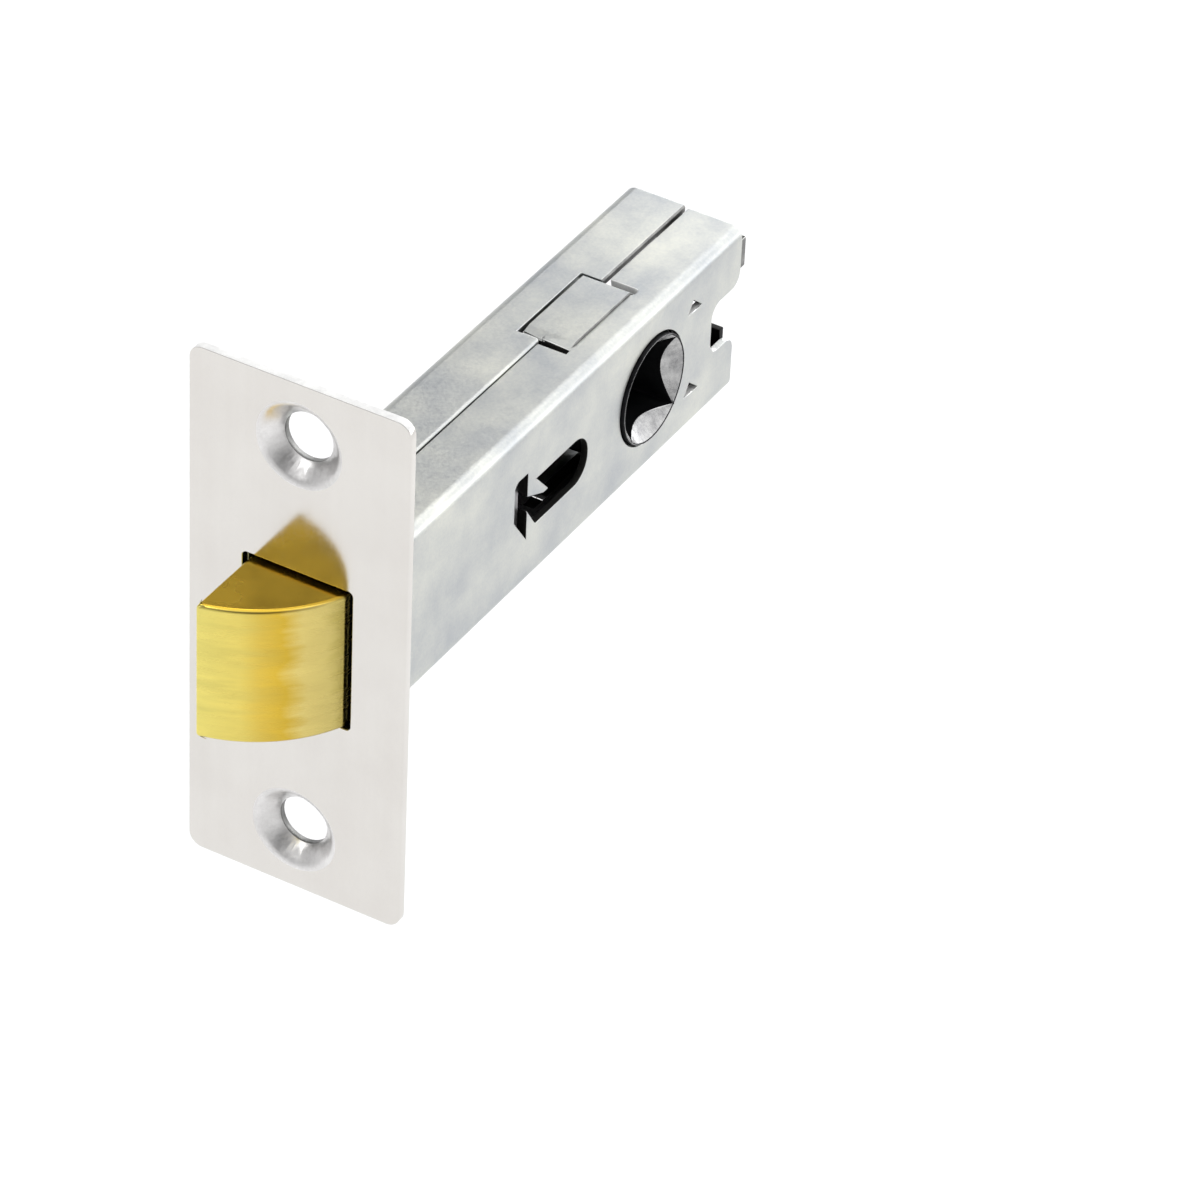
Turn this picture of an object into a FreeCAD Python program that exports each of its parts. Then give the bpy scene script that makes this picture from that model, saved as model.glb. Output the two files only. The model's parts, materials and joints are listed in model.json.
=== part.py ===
import FreeCAD, Part
import os
import Sketcher

# Tubular door latch. Millimetres, +Z up. The origin is the centre of the forend's front face:
# the bolt shows towards -Y, the case runs back into the door along +Y, the spindle passes along X.

SIZES = {
    # Forend: the plate let into the door's edge
    "forend_height": 60.0,
    "forend_width": 24.5,
    "forend_thick": 1.0,
    "forend_corner": 1.5,
    "screw_spacing": 46.0,
    "screw_hole": 5.4,
    "screw_head": 9.0,
    "screw_lip": 0.7,
    "aperture_width": 12.4,
    "aperture_height": 16.5,
    "aperture_rise": 0.1,
    "aperture_corner": 0.5,
    # Case: two folded halves that meet in a seam along the top and the bottom
    "latch_length": 73.8,
    "case_width": 13.8,
    "case_height": 20.0,
    "sheet": 0.8,
    "bend_radius": 1.3,
    "seam_offset": 0.15,
    "seam_gap": 0.12,
    "cover_step": 0.25,
    "ear_reach": 4.5,
    "ear_inset": 1.6,
    "tab_front": 44.3,
    "tab_length": 11.8,
    "tab_reach": 2.25,
    "tab_root": 3.35,
    "tab_gap": 0.35,
    "tab_roll": 1.4,
    "tab_drop": 0.3,
    "relief_length": 1.2,
    "relief_reach": 0.3,
    "relief_flat": 0.1,
    "rear_gap": 0.35,
    "notch_height": 6.0,
    "notch_depth": 6.4,
    "notch_corner": 1.6,
    "lower_setback": 0.8,
    "flap_margin": 1.75,
    "lower_flap_top": 2.5,
    # Openings of the side walls
    "backset": 55.35,
    "journal_gap": 0.25,
    "window_front": 28.7,
    "window_length": 2.4,
    "window_rise": 3.95,
    "window_heel": 0.7,
    "window_toe": 4.0,
    "window_corner": 0.8,
    "tooth_drop": 0.6,
    "tooth_width": 1.7,
    "beak_root": 1.1,
    "beak_reach": 2.4,
    "beak_tip": 0.95,
    "beak_drop": 0.25,
    "tongue_low": 1.2,
    "tongue_high": 3.9,
    "tongue_reach": 2.6,
    "slot_rise": 2.35,
    "slot_drop": 3.1,
    "slot_end": 42.75,
    "slot_flat": 0.15,
    "nib_setback": 6.95,
    "nib_spread": 10.2,
    "nib_shift": 0.25,
    "nib_length": 2.7,
    "nib_height": 1.45,
    "nib_lean": 1.0,
    "nib_depth": 0.5,
    "nib_slit": 0.4,
    "nib_side_slit": 0.6,
    # Latch bolt
    "bolt_width": 11.2,
    "bolt_height": 15.8,
    "bolt_drop": 0.1,
    "bolt_projection": 9.0,
    "bolt_bulge": 1.75,
    "bolt_body": 15.0,
    "bolt_edge": 0.3,
    "spring_bore": 8.6,
    "spring_bore_depth": 10.0,
    # Draw bars between bolt and follower
    "bar_thick": 1.2,
    "bar_width": 8.0,
    "bar_play": 0.3,
    "bar_fit": 0.1,
    "hook_setback": 9.0,
    "hook_length": 2.5,
    "lip_height": 2.35,
    "lip_lead": 2.95,
    "bar_window": 5.0,
    "bar_window_front": 40.0,
    # Bolt spring and the plate that it bears on
    "seat_thick": 0.8,
    "seat_hole": 4.0,
    "seat_play": 0.25,
    "spring_wire": 1.0,
    "spring_outer": 7.8,
    "spring_turns": 6,
    "spring_gap": 0.05,
    # Follower: the hub that the spindle turns
    "boss_diameter": 12.0,
    "boss_proud": 0.35,
    "spindle_square": 8.2,
    "cone_mouth": 11.7,
    "flange_diameter": 14.0,
    "flange_inner": 2.8,
    "flange_play": 0.15,
    "lug_radius": 8.6,
    "lug_width": 2.2,
    "lug_thick": 4.4,
    "lug_corner": 0.3,
    "lug_rest_angle": 36.0,
}

doc = FreeCAD.newDocument("tubular_latch")
sheet = doc.addObject("Spreadsheet::Sheet", "Sizes")
for row, (name, number) in enumerate(SIZES.items(), 1):
    sheet.set(f"A{row}", name)
    sheet.set(f"B{row}", str(number))
    sheet.setAlias(f"B{row}", name)
doc.recompute()


class Size:
    """A length worked out from the sheet: its value now, and the expression that keeps it current."""

    def __init__(self, value, text):
        self.value = value
        self.text = text

    def join(self, sign, other, value):
        other_text = other.text if isinstance(other, Size) else str(other)
        return Size(value, f"({self.text} {sign} {other_text})")

    def __add__(self, other):
        return self.join("+", other, self.value + number_of(other))

    def __sub__(self, other):
        return self.join("-", other, self.value - number_of(other))

    def __mul__(self, other):
        return self.join("*", other, self.value * number_of(other))

    def __truediv__(self, other):
        return self.join("/", other, self.value / number_of(other))

    def __neg__(self):
        return self * -1


def number_of(size):
    return size.value if isinstance(size, Size) else size


def size(name):
    return Size(float(sheet.get(name)), f"Sizes.{name}")


ZERO = Size(0.0, "0")
TOLERANCE = 1e-4


# Helpers for bodies, sketches and features

def new_body(label):
    body = doc.addObject("PartDesign::Body", label)
    body.Label = label
    return body


def origin_plane(body, role):
    return next(item for item in body.Origin.OriginFeatures if item.Role == role)


def attach(item, body, role, lift, across=ZERO, along=ZERO, turn=None):
    """Sets an item on one of its body's origin planes, moved within the plane and lifted off it."""
    item.AttachmentSupport = [(origin_plane(body, role), "")]
    item.MapMode = "FlatFace"
    for axis, shift in (("x", across), ("y", along), ("z", lift)):
        item.setExpression(f"AttachmentOffset.Base.{axis}", shift.text)
    if turn is not None:
        item.setExpression("AttachmentOffset.Rotation.Angle", turn.text)


def new_sketch(body, name, role, lift=ZERO, **place):
    sketch = body.newObject("Sketcher::SketchObject", name)
    attach(sketch, body, role, lift, **place)
    return sketch


def fix(sketch, kind, size_value, *target):
    """Adds a dimension to a sketch and ties it to the sheet."""
    index = sketch.addConstraint(Sketcher.Constraint(kind, *target, size_value.value))
    sketch.setExpression(f"Constraints[{index}]", size_value.text)


def fix_point(sketch, geometry, end, across, along):
    fix(sketch, "DistanceX", across, -1, 1, geometry, end)
    fix(sketch, "DistanceY", along, -1, 1, geometry, end)


def vector(across, along):
    return FreeCAD.Vector(across.value, along.value, 0)


def outline(sketch, points):
    """A closed run of straight lines through the given corners."""
    first = sketch.GeometryCount
    count = len(points)
    for number, start in enumerate(points):
        end = points[(number + 1) % count]
        sketch.addGeometry(Part.LineSegment(vector(*start), vector(*end)), False)
    for number, start in enumerate(points):
        after = first + (number + 1) % count
        sketch.addConstraint(Sketcher.Constraint("Coincident", first + number, 2, after, 1))
        fix_point(sketch, first + number, 1, *start)


def rectangle(sketch, low_across, high_across, low_along, high_along):
    outline(sketch, [
        (low_across, low_along),
        (high_across, low_along),
        (high_across, high_along),
        (low_across, high_along),
    ])


def circle(sketch, diameter, across=ZERO, along=ZERO):
    geometry = sketch.addGeometry(
        Part.Circle(vector(across, along), FreeCAD.Vector(0, 0, 1), diameter.value / 2), False)
    fix_point(sketch, geometry, 3, across, along)
    fix(sketch, "Diameter", diameter, geometry)


def extrude(body, kind, sketch, length, reverse=False):
    """A pad or a pocket of a sketch, which has to change the body's volume."""
    before = body.Shape.Volume if body.Tip else 0.0
    feature = body.newObject(f"PartDesign::{kind}", f"{sketch.Name}_{kind.lower()}")
    feature.Profile = sketch
    feature.setExpression("Length", length.text)
    feature.Reversed = reverse
    sketch.Visibility = False
    doc.recompute()
    change = body.Shape.Volume - before
    if (change > 0) != (kind == "Pad") or abs(change) < TOLERANCE:
        raise RuntimeError(f"{body.Label}: {sketch.Name} changed the volume by {change:.4f}")
    return feature


def pad(body, sketch, length, reverse=False):
    return extrude(body, "Pad", sketch, length, reverse)


def pocket(body, sketch, length, reverse=False):
    return extrude(body, "Pocket", sketch, length, reverse)


def mirror(body, features, role):
    """The same features on the other side of an origin plane."""
    copy = body.newObject("PartDesign::Mirrored", f"{features[0].Name}_mirror")
    copy.Originals = features
    copy.MirrorPlane = (origin_plane(body, role), [""])
    body.Tip = copy
    doc.recompute()
    return copy


def straight_edges(shape, axis, places):
    """Names of the straight edges along an axis that stand at the given places of the other two axes."""
    across = [index for index in range(3) if index != "XYZ".index(axis)]
    found = []
    for number, edge in enumerate(shape.Edges, 1):
        if edge.Curve.TypeId != "Part::GeomLine":
            continue
        start, end = edge.Vertexes[0].Point, edge.Vertexes[-1].Point
        if any(abs(start[index] - end[index]) > TOLERANCE for index in across):
            continue
        spot = [start[index] for index in across]
        for place in places:
            if all(abs(spot[i] - place[i].value) < TOLERANCE for i in range(2)):
                found.append(f"Edge{number}")
    return found


def fillet(body, name, edges, radius):
    base = body.Tip
    feature = body.newObject("PartDesign::Fillet", name)
    feature.Base = (base, edges)
    feature.setExpression("Radius", radius.text)
    body.Tip = feature
    doc.recompute()
    return feature


def round_edges(body, name, axis, places, radius):
    return fillet(body, name, straight_edges(body.Shape, axis, places), radius)


# Places shared by several pieces

half_case = size("case_width") / 2
wall_inside = half_case - size("sheet")
body_top = size("case_height") / 2
cover_top = body_top - size("cover_step")
ceiling = cover_top - size("sheet")
case_end = size("latch_length") - size("sheet")
lower_end = case_end - size("lower_setback")
window_end = size("window_front") + size("window_length")
half_notch = size("notch_height") / 2
journal_hole = size("boss_diameter") + size("journal_gap") * 2
tab_end = size("tab_front") + size("tab_length")
tab_side = size("seam_offset") - size("tab_reach")
tab_crease = size("seam_offset") + size("tab_root")
bar_outside = ceiling - size("bar_play")
bar_inside = bar_outside - size("bar_thick")
lip_front = size("backset") - size("lip_lead")
seat_front = window_end - size("seat_thick")
bore_bottom = size("bolt_body") - size("spring_bore_depth")


def add_cone(body, kind, name, rise, depth, back_radius, front_radius, height):
    """A cone along Y at the given rise, from its back end at the given depth to its wider front."""
    cone = body.newObject(f"PartDesign::{kind}Cone", name)
    attach(cone, body, "XZ_Plane", -depth, along=rise)
    cone.setExpression("Radius1", back_radius.text)
    cone.setExpression("Radius2", front_radius.text)
    cone.setExpression("Height", height.text)
    doc.recompute()


def make_forend():
    body = new_body("forend")
    half_width = size("forend_width") / 2
    half_height = size("forend_height") / 2
    plate = new_sketch(body, "forend_plate", "XZ_Plane")
    rectangle(plate, -half_width, half_width, -half_height, half_height)
    pad(body, plate, size("forend_thick"), reverse=True)
    sides, ends = (-half_width, half_width), (-half_height, half_height)
    corners = [(across, along) for across in sides for along in ends]
    round_edges(body, "forend_corners", "Y", corners, size("forend_corner"))

    # The screw holes are pressed: the thin plate is dished back round each one at 90 degrees
    hole_radius = size("screw_hole") / 2
    head_radius = size("screw_head") / 2
    sink_depth = head_radius - hole_radius
    dish_depth = sink_depth + size("screw_lip")
    dish_rise = dish_depth - size("forend_thick")
    dish_mouth = head_radius + size("forend_thick") * (2 ** 0.5 - 1)
    for name, rise in (("upper", size("screw_spacing") / 2), ("lower", -size("screw_spacing") / 2)):
        dish_back = dish_mouth - dish_rise
        add_cone(body, "Additive", f"{name}_dish", rise, dish_depth, dish_back, dish_mouth, dish_rise)
        add_cone(body, "Subtractive", f"{name}_sink", rise, sink_depth, hole_radius, head_radius, sink_depth)
        bore = new_sketch(body, f"{name}_screw_bore", "XZ_Plane")
        circle(bore, size("screw_hole"), along=rise)
        pocket(body, bore, dish_depth)

    half_opening = size("aperture_width") / 2
    sill = size("aperture_rise") - size("aperture_height") / 2
    head = size("aperture_rise") + size("aperture_height") / 2
    opening = new_sketch(body, "bolt_aperture", "XZ_Plane")
    rectangle(opening, -half_opening, half_opening, sill, head)
    pocket(body, opening, size("forend_thick"))
    corners = [(across, along) for across in (-half_opening, half_opening) for along in (sill, head)]
    round_edges(body, "aperture_corners", "Y", corners, size("aperture_corner"))
    return body


def make_case_half(label, side, top):
    """One folded half of the case: side is 1 for the cover at +X and -1 for the body at -X."""
    body = new_body(label)
    sheet_thick = size("sheet")
    seam = size("seam_offset") + size("seam_gap") / 2 * side
    outside, inside = half_case * side, wall_inside * side
    section = new_sketch(body, f"{label}_section", "XZ_Plane", -size("forend_thick"))
    outline(section, [
        (seam, top),
        (outside, top),
        (outside, -top),
        (seam, -top),
        (seam, sheet_thick - top),
        (inside, sheet_thick - top),
        (inside, top - sheet_thick),
        (seam, top - sheet_thick),
    ])
    pad(body, section, case_end - size("forend_thick"), reverse=True)
    round_edges(body, f"{label}_bends", "Y", [(outside, top), (outside, -top)], size("bend_radius"))
    inner_bends = [(inside, top - sheet_thick), (inside, sheet_thick - top)]
    round_edges(body, f"{label}_inner_bends", "Y", inner_bends, size("bend_radius") - sheet_thick)

    # Ears turned out above and below, welded to the back of the forend
    ear = new_sketch(body, f"{label}_ear", "XZ_Plane", -size("forend_thick"))
    ear_outer = (half_case - size("ear_inset")) * side
    rectangle(ear, seam, ear_outer, top - sheet_thick, top + size("ear_reach"))
    ears = pad(body, ear, sheet_thick, reverse=True)
    mirror(body, [ears], "XY_Plane")

    # Side wall: a tall window runs into the slot between a beak above and a tooth below
    cut_side = side < 0
    slot_end, slot_rise, slot_drop = size("slot_end"), size("slot_rise"), size("slot_drop")
    tooth_end = window_end + size("tooth_width")
    beak_end = tooth_end + size("beak_reach")
    window = new_sketch(body, f"{label}_window", "YZ_Plane", outside)
    outline(window, [
        (size("window_front"), -size("window_heel")),
        (window_end, -size("window_toe")),
        (window_end, -size("tooth_drop")),
        (tooth_end, -slot_drop),
        (slot_end, -slot_drop),
        (slot_end, slot_rise),
        (tooth_end, slot_rise),
        (beak_end, -size("beak_drop")),
        (beak_end - size("beak_tip"), -size("beak_drop")),
        (window_end, size("beak_root")),
        (window_end, size("window_rise")),
        (size("window_front"), size("window_rise")),
    ])
    pocket(body, window, sheet_thick, reverse=cut_side)
    journal = new_sketch(body, f"{label}_journal", "YZ_Plane", outside)
    circle(journal, journal_hole, across=size("backset"))
    pocket(body, journal, sheet_thick, reverse=cut_side)
    notch = new_sketch(body, f"{label}_notch", "YZ_Plane", outside)
    notch_front = size("latch_length") - size("notch_depth")
    rectangle(notch, notch_front, case_end, -half_notch, half_notch)
    pocket(body, notch, sheet_thick, reverse=cut_side)
    # Below the notch the case is a little shorter than above it
    trim = new_sketch(body, f"{label}_trim", "YZ_Plane", outside)
    rectangle(trim, lower_end, case_end, -top, ZERO)
    pocket(body, trim, size("case_width"), reverse=cut_side)
    end_radius = (slot_rise + slot_drop) / 2 - size("slot_flat")
    round_edges(body, f"{label}_slot_end", "X", [(slot_end, slot_rise), (slot_end, -slot_drop)], end_radius)
    corner = [(size("window_front"), size("window_rise"))]
    round_edges(body, f"{label}_window_corner", "X", corner, size("window_corner"))
    upper_corners = [(notch_front, half_notch), (case_end, half_notch)]
    lower_corners = [(notch_front, -half_notch), (lower_end, -half_notch)]
    round_edges(body, f"{label}_notch_corners", "X", upper_corners + lower_corners, size("notch_corner"))

    # Tongues lanced from the window and turned in, which stop the spring seat
    tongue = new_sketch(body, f"{label}_tongue", "YZ_Plane", inside)
    rectangle(tongue, window_end, window_end + sheet_thick, size("tongue_low"), size("tongue_high"))
    tongues = pad(body, tongue, size("tongue_reach"), reverse=side > 0)
    mirror(body, [tongues], "XY_Plane")

    # Nibs lanced behind the follower: three-cornered flaps pushed in, slit along the base and the rear side
    nib_front = size("backset") + size("nib_setback")
    length, height, lean = size("nib_length"), size("nib_height"), size("nib_lean")
    side_slit, base_slit = size("nib_side_slit"), size("nib_slit")
    kept = Size(1.0, "1") - side_slit / length
    for name, sign in (("upper", 1), ("lower", -1)):
        base = size("nib_spread") / 2 * sign - size("nib_shift")
        heel, toe, peak = (nib_front, base), (nib_front + length, base), (nib_front + lean, base + height)
        flap_heel = (nib_front + lean * base_slit / height, base + base_slit)
        flap_toe = (nib_front + length - side_slit - base_slit * (length - lean) / height, base + base_slit)
        flap_peak = (nib_front + lean * kept, base + height * kept)
        recess = new_sketch(body, f"{label}_{name}_recess", "YZ_Plane", outside)
        outline(recess, [heel, toe, peak])
        pocket(body, recess, size("nib_depth"), reverse=cut_side)
        flap = new_sketch(body, f"{label}_{name}_nib", "YZ_Plane", inside)
        outline(flap, [flap_heel, flap_toe, flap_peak])
        pad(body, flap, size("nib_depth"), reverse=side > 0)
        slit = new_sketch(body, f"{label}_{name}_slit", "YZ_Plane", outside)
        outline(slit, [heel, toe, peak, flap_peak, flap_toe, flap_heel])
        pocket(body, slit, sheet_thick, reverse=cut_side)
    return body


def make_case_body():
    label = "case_body"
    body = make_case_half(label, -1, body_top)
    sheet_thick = size("sheet")
    # Notches in the top and bottom flanges that take the cover's tabs
    notch = new_sketch(body, "tab_notch", "XY_Plane", body_top)
    flange_edge = size("seam_offset") - size("seam_gap") / 2
    front = size("tab_front") - size("tab_gap")
    rectangle(notch, tab_side - size("tab_gap"), flange_edge, front, tab_end + size("tab_gap"))
    notches = pocket(body, notch, sheet_thick)
    mirror(body, [notches], "XY_Plane")
    # End flaps: the upper one laps behind the cover's wall, the lower one sits between the walls
    flap_low = half_notch + size("flap_margin")
    flap_high = body_top - size("flap_margin")
    upper = new_sketch(body, "upper_flap", "XZ_Plane", -case_end)
    rectangle(upper, -half_case, half_case, flap_low, flap_high)
    pad(body, upper, sheet_thick, reverse=True)
    lower = new_sketch(body, "lower_flap", "XZ_Plane", sheet_thick - lower_end)
    flap_side = wall_inside - size("tab_gap")
    rectangle(lower, -wall_inside, flap_side, size("tab_gap") - ceiling, -size("lower_flap_top"))
    pad(body, lower, sheet_thick, reverse=True)
    return body


def make_case_cover():
    label = "case_cover"
    body = make_case_half(label, 1, cover_top)
    sheet_thick = size("sheet")
    flange_edge = size("seam_offset") + size("seam_gap") / 2
    # Tabs joggled up to the level of the other half, with a slot in front and a relief behind
    tab = new_sketch(body, "seam_tab", "YZ_Plane", tab_side)
    outline(tab, [
        (tab_end, body_top),
        (size("tab_front") + size("tab_roll"), body_top),
        (size("tab_front"), body_top - size("tab_drop")),
        (size("tab_front"), body_top - sheet_thick),
        (tab_end, body_top - sheet_thick),
    ])
    tabs = pad(body, tab, size("tab_reach") + size("tab_root"))
    slot = new_sketch(body, "tab_slot", "XY_Plane", cover_top)
    rectangle(slot, flange_edge, tab_crease, size("tab_front") - sheet_thick, size("tab_front"))
    slots = pocket(body, slot, sheet_thick)
    relief = new_sketch(body, "tab_relief", "XY_Plane", cover_top)
    relief_end = tab_end + size("relief_length")
    relief_side = tab_crease + size("relief_reach")
    rectangle(relief, flange_edge, relief_side, tab_end, relief_end)
    reliefs = pocket(body, relief, sheet_thick)
    # Behind the relief the seam stands a little open
    gap = new_sketch(body, "rear_seam", "XY_Plane", cover_top)
    rectangle(gap, flange_edge, flange_edge + size("rear_gap"), relief_end, case_end)
    gaps = pocket(body, gap, sheet_thick)
    mirror(body, [tabs, slots, reliefs, gaps], "XY_Plane")
    relief_radius = size("relief_length") / 2 - size("relief_flat")
    round_edges(body, "relief_ends", "Z", [(relief_side, tab_end), (relief_side, relief_end)], relief_radius)
    return body


def make_latch_bolt():
    body = new_body("latch_bolt")
    half = size("bolt_width") / 2
    nose = -size("bolt_projection")
    bottom = -size("bolt_height") / 2 - size("bolt_drop")
    top = size("bolt_height") / 2 - size("bolt_drop")
    # Plan of the bolt: a straight flank at -X and a crowned bevel from the nose to the other flank
    plan = new_sketch(body, "bolt_plan", "XY_Plane", bottom)
    back = size("bolt_body")
    corners = [(half, ZERO), (half, back), (-half, back), (-half, nose)]
    for start, end in zip(corners, corners[1:]):
        plan.addGeometry(Part.LineSegment(vector(*start), vector(*end)), False)
    rise, run = size("bolt_projection"), size("bolt_width")
    chord_square = rise * rise + run * run
    bulge = size("bolt_bulge")
    bevel_radius = (chord_square / 4 + bulge * bulge) / (bulge * 2)
    chord = chord_square.value ** 0.5
    crown = FreeCAD.Vector(
        bulge.value * rise.value / chord,
        nose.value / 2 - bulge.value * run.value / chord, 0)
    bevel = plan.addGeometry(Part.Arc(vector(*corners[-1]), crown, vector(*corners[0])), False)
    for line in range(2):
        plan.addConstraint(Sketcher.Constraint("Coincident", line, 2, line + 1, 1))
    for line, point in enumerate(corners[:-1]):
        fix_point(plan, line, 1, *point)
    fix_point(plan, 2, 2, *corners[-1])
    plan.addConstraint(Sketcher.Constraint("Coincident", 2, 2, bevel, 1))
    plan.addConstraint(Sketcher.Constraint("Coincident", bevel, 2, 0, 1))
    fix(plan, "Radius", bevel_radius, bevel)
    pad(body, plan, size("bolt_height"))
    round_edges(body, "bolt_nose", "Z", [(-half, nose)], size("bolt_edge"))
    rims = []
    for number, edge in enumerate(body.Shape.Edges, 1):
        box = edge.BoundBox
        on_face = any(max(abs(box.ZMin - face.value), abs(box.ZMax - face.value)) < TOLERANCE
                      for face in (bottom, top))
        if on_face and box.YMax < TOLERANCE:
            rims.append(f"Edge{number}")
    fillet(body, "bolt_rims", rims, size("bolt_edge"))

    bore = new_sketch(body, "spring_pocket", "XZ_Plane", -size("bolt_body"))
    circle(bore, size("spring_bore"))
    pocket(body, bore, size("spring_bore_depth"), reverse=True)

    # Grooves for the draw bars and cross slots for their hooks, above and below
    fit = size("bar_fit")
    bar_side = size("bar_width") / 2 + fit
    hook_front = size("hook_setback") - fit
    hook_back = size("hook_setback") + size("bar_thick") + fit
    levels = [("upper", top, bar_inside - fit, bar_outside - size("hook_length") - fit, False),
              ("lower", bottom, fit - bar_inside, size("hook_length") - bar_outside + fit, True)]
    for name, face, groove_level, slot_level, from_below in levels:
        depth = (groove_level - face) if from_below else (face - groove_level)
        groove = new_sketch(body, f"{name}_groove", "XY_Plane", face)
        rectangle(groove, -bar_side, bar_side, hook_front, size("bolt_body"))
        pocket(body, groove, depth, reverse=from_below)
        depth = (slot_level - face) if from_below else (face - slot_level)
        slot = new_sketch(body, f"{name}_hook_slot", "XY_Plane", face)
        rectangle(slot, -bar_side, bar_side, hook_front, hook_back)
        pocket(body, slot, depth, reverse=from_below)
    return body


def make_draw_bar(label, side):
    """A strip along the case's ceiling (side 1) or floor (-1), hooked in the bolt and lipped at its tail."""
    body = new_body(label)
    half = size("bar_width") / 2
    half_window_width = size("bar_window") / 2
    face = bar_outside * side
    strip = new_sketch(body, f"{label}_strip", "XY_Plane", face)
    tail = lip_front + size("bar_thick")
    rectangle(strip, -half, half, size("hook_setback"), tail)
    inwards = side > 0
    pad(body, strip, size("bar_thick"), reverse=inwards)
    window = new_sketch(body, f"{label}_window", "XY_Plane", face)
    rectangle(window, -half_window_width, half_window_width, size("bar_window_front"), lip_front)
    pocket(body, window, size("bar_thick"), reverse=not inwards)
    hook = new_sketch(body, f"{label}_hook", "XY_Plane", face)
    rectangle(hook, -half, half, size("hook_setback"), size("hook_setback") + size("bar_thick"))
    pad(body, hook, size("hook_length"), reverse=inwards)
    lip = new_sketch(body, f"{label}_lip", "XY_Plane", face)
    rectangle(lip, -half_window_width, half_window_width, lip_front, tail)
    pad(body, lip, size("lip_height"), reverse=inwards)
    outer_bends = [(size("hook_setback"), face), (tail, face)]
    round_edges(body, f"{label}_bends", "X", outer_bends, size("bar_thick") / 2)
    return body


def make_spring_seat():
    body = new_body("spring_seat")
    half_width = wall_inside - size("seat_play")
    half_height = bar_inside - size("seat_play")
    plate = new_sketch(body, "seat_plate", "XZ_Plane", -seat_front)
    rectangle(plate, -half_width, half_width, -half_height, half_height)
    pad(body, plate, size("seat_thick"), reverse=True)
    hole = new_sketch(body, "seat_centre", "XZ_Plane", -seat_front)
    circle(hole, size("seat_hole"))
    pocket(body, hole, size("seat_thick"))
    return body


def make_bolt_spring():
    """A compression coil from the bottom of the bolt's bore to the seat: a turn is two tilted half rings.

    The wire has six flats, which keeps the many turns light.
    """
    body = new_body("bolt_spring")
    wire = size("spring_wire")
    coil = (size("spring_outer") - wire) / 2
    length = seat_front - bore_bottom - wire - size("spring_gap") * 2
    pitch = length / size("spring_turns")
    start = bore_bottom + wire / 2 + size("spring_gap")
    reach = wire / 2
    side_reach = reach * 0.75 ** 0.5
    section = [(side_reach, -reach / 2), (side_reach, reach / 2), (ZERO, reach),
               (-side_reach, reach / 2), (-side_reach, -reach / 2), (ZERO, -reach)]
    halves = []
    for name, side, begin in (("rising_half", -1, start), ("falling_half", 1, start + pitch / 2)):
        sketch = new_sketch(body, name, "XY_Plane")
        outline(sketch, [(coil * side + across, begin + along) for across, along in section])
        # The half ring turns about a line square to its own chord, through the middle of that chord
        foot = (ZERO, begin + pitch / 4)
        head = (pitch / 4 * side, begin + pitch / 4 + coil)
        axis = sketch.addGeometry(Part.LineSegment(vector(*foot), vector(*head)), True)
        fix_point(sketch, axis, 1, *foot)
        fix_point(sketch, axis, 2, *head)
        half = body.newObject("PartDesign::Revolution", f"{name}_ring")
        half.Profile = sketch
        half.ReferenceAxis = (sketch, ["Axis0"])
        half.Angle = 180
        sketch.Visibility = False
        doc.recompute()
        halves.append(half)
    turns = body.newObject("PartDesign::LinearPattern", "spring_turns")
    turns.Originals = halves
    turns.Direction = (halves[0].Profile[0], ["V_Axis"])
    turns.setExpression("Length", (length - pitch).text)
    turns.setExpression("Occurrences", size("spring_turns").text)
    body.Tip = turns
    doc.recompute()
    return body


def make_follower():
    body = new_body("follower")
    centre = size("backset")
    half_length = half_case + size("boss_proud")
    barrel = new_sketch(body, "barrel", "YZ_Plane", -half_length)
    circle(barrel, size("boss_diameter"), across=centre)
    pad(body, barrel, half_length * 2)
    flange = new_sketch(body, "flange", "YZ_Plane", size("flange_inner"))
    circle(flange, size("flange_diameter"), across=centre)
    flanges = pad(body, flange, wall_inside - size("flange_play") - size("flange_inner"))
    mirror(body, [flanges], "YZ_Plane")

    # Two lugs lean forward at rest: the one that is turned back pushes its draw bar's lip
    half_width = size("lug_width") / 2
    half_thick = size("lug_thick") / 2
    tip = size("lug_radius")
    for name, side in (("upper_lug", 1), ("lower_lug", -1)):
        lug = new_sketch(body, name, "YZ_Plane", -half_thick,
                         across=centre, turn=size("lug_rest_angle") * side)
        rectangle(lug, -half_width, half_width, ZERO, tip * side)
        pad(body, lug, size("lug_thick"))
    corners = []
    for number, edge in enumerate(body.Shape.Edges, 1):
        box = edge.BoundBox
        reach = FreeCAD.Vector(0, box.Center.y - centre.value, box.Center.z).Length
        across_lug = abs(box.XLength - size("lug_thick").value) < TOLERANCE
        if across_lug and reach > size("flange_diameter").value / 2:
            corners.append(f"Edge{number}")
    fillet(body, "lug_tips", corners, size("lug_corner"))

    # Square hole for the spindle, opened by a 90 degree cone at each end
    cone_depth = (size("cone_mouth") - size("spindle_square")) / 2
    cone = body.newObject("PartDesign::SubtractiveCone", "spindle_cone")
    attach(cone, body, "YZ_Plane", half_length - cone_depth, across=centre)
    cone.setExpression("Radius1", (size("spindle_square") / 2).text)
    cone.setExpression("Radius2", (size("cone_mouth") / 2).text)
    cone.setExpression("Height", cone_depth.text)
    doc.recompute()
    mirror(body, [cone], "YZ_Plane")
    half_square = size("spindle_square") / 2
    square = new_sketch(body, "spindle_hole", "YZ_Plane", half_length)
    rectangle(square, centre - half_square, centre + half_square, -half_square, half_square)
    pocket(body, square, half_length * 2)
    return body


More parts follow.
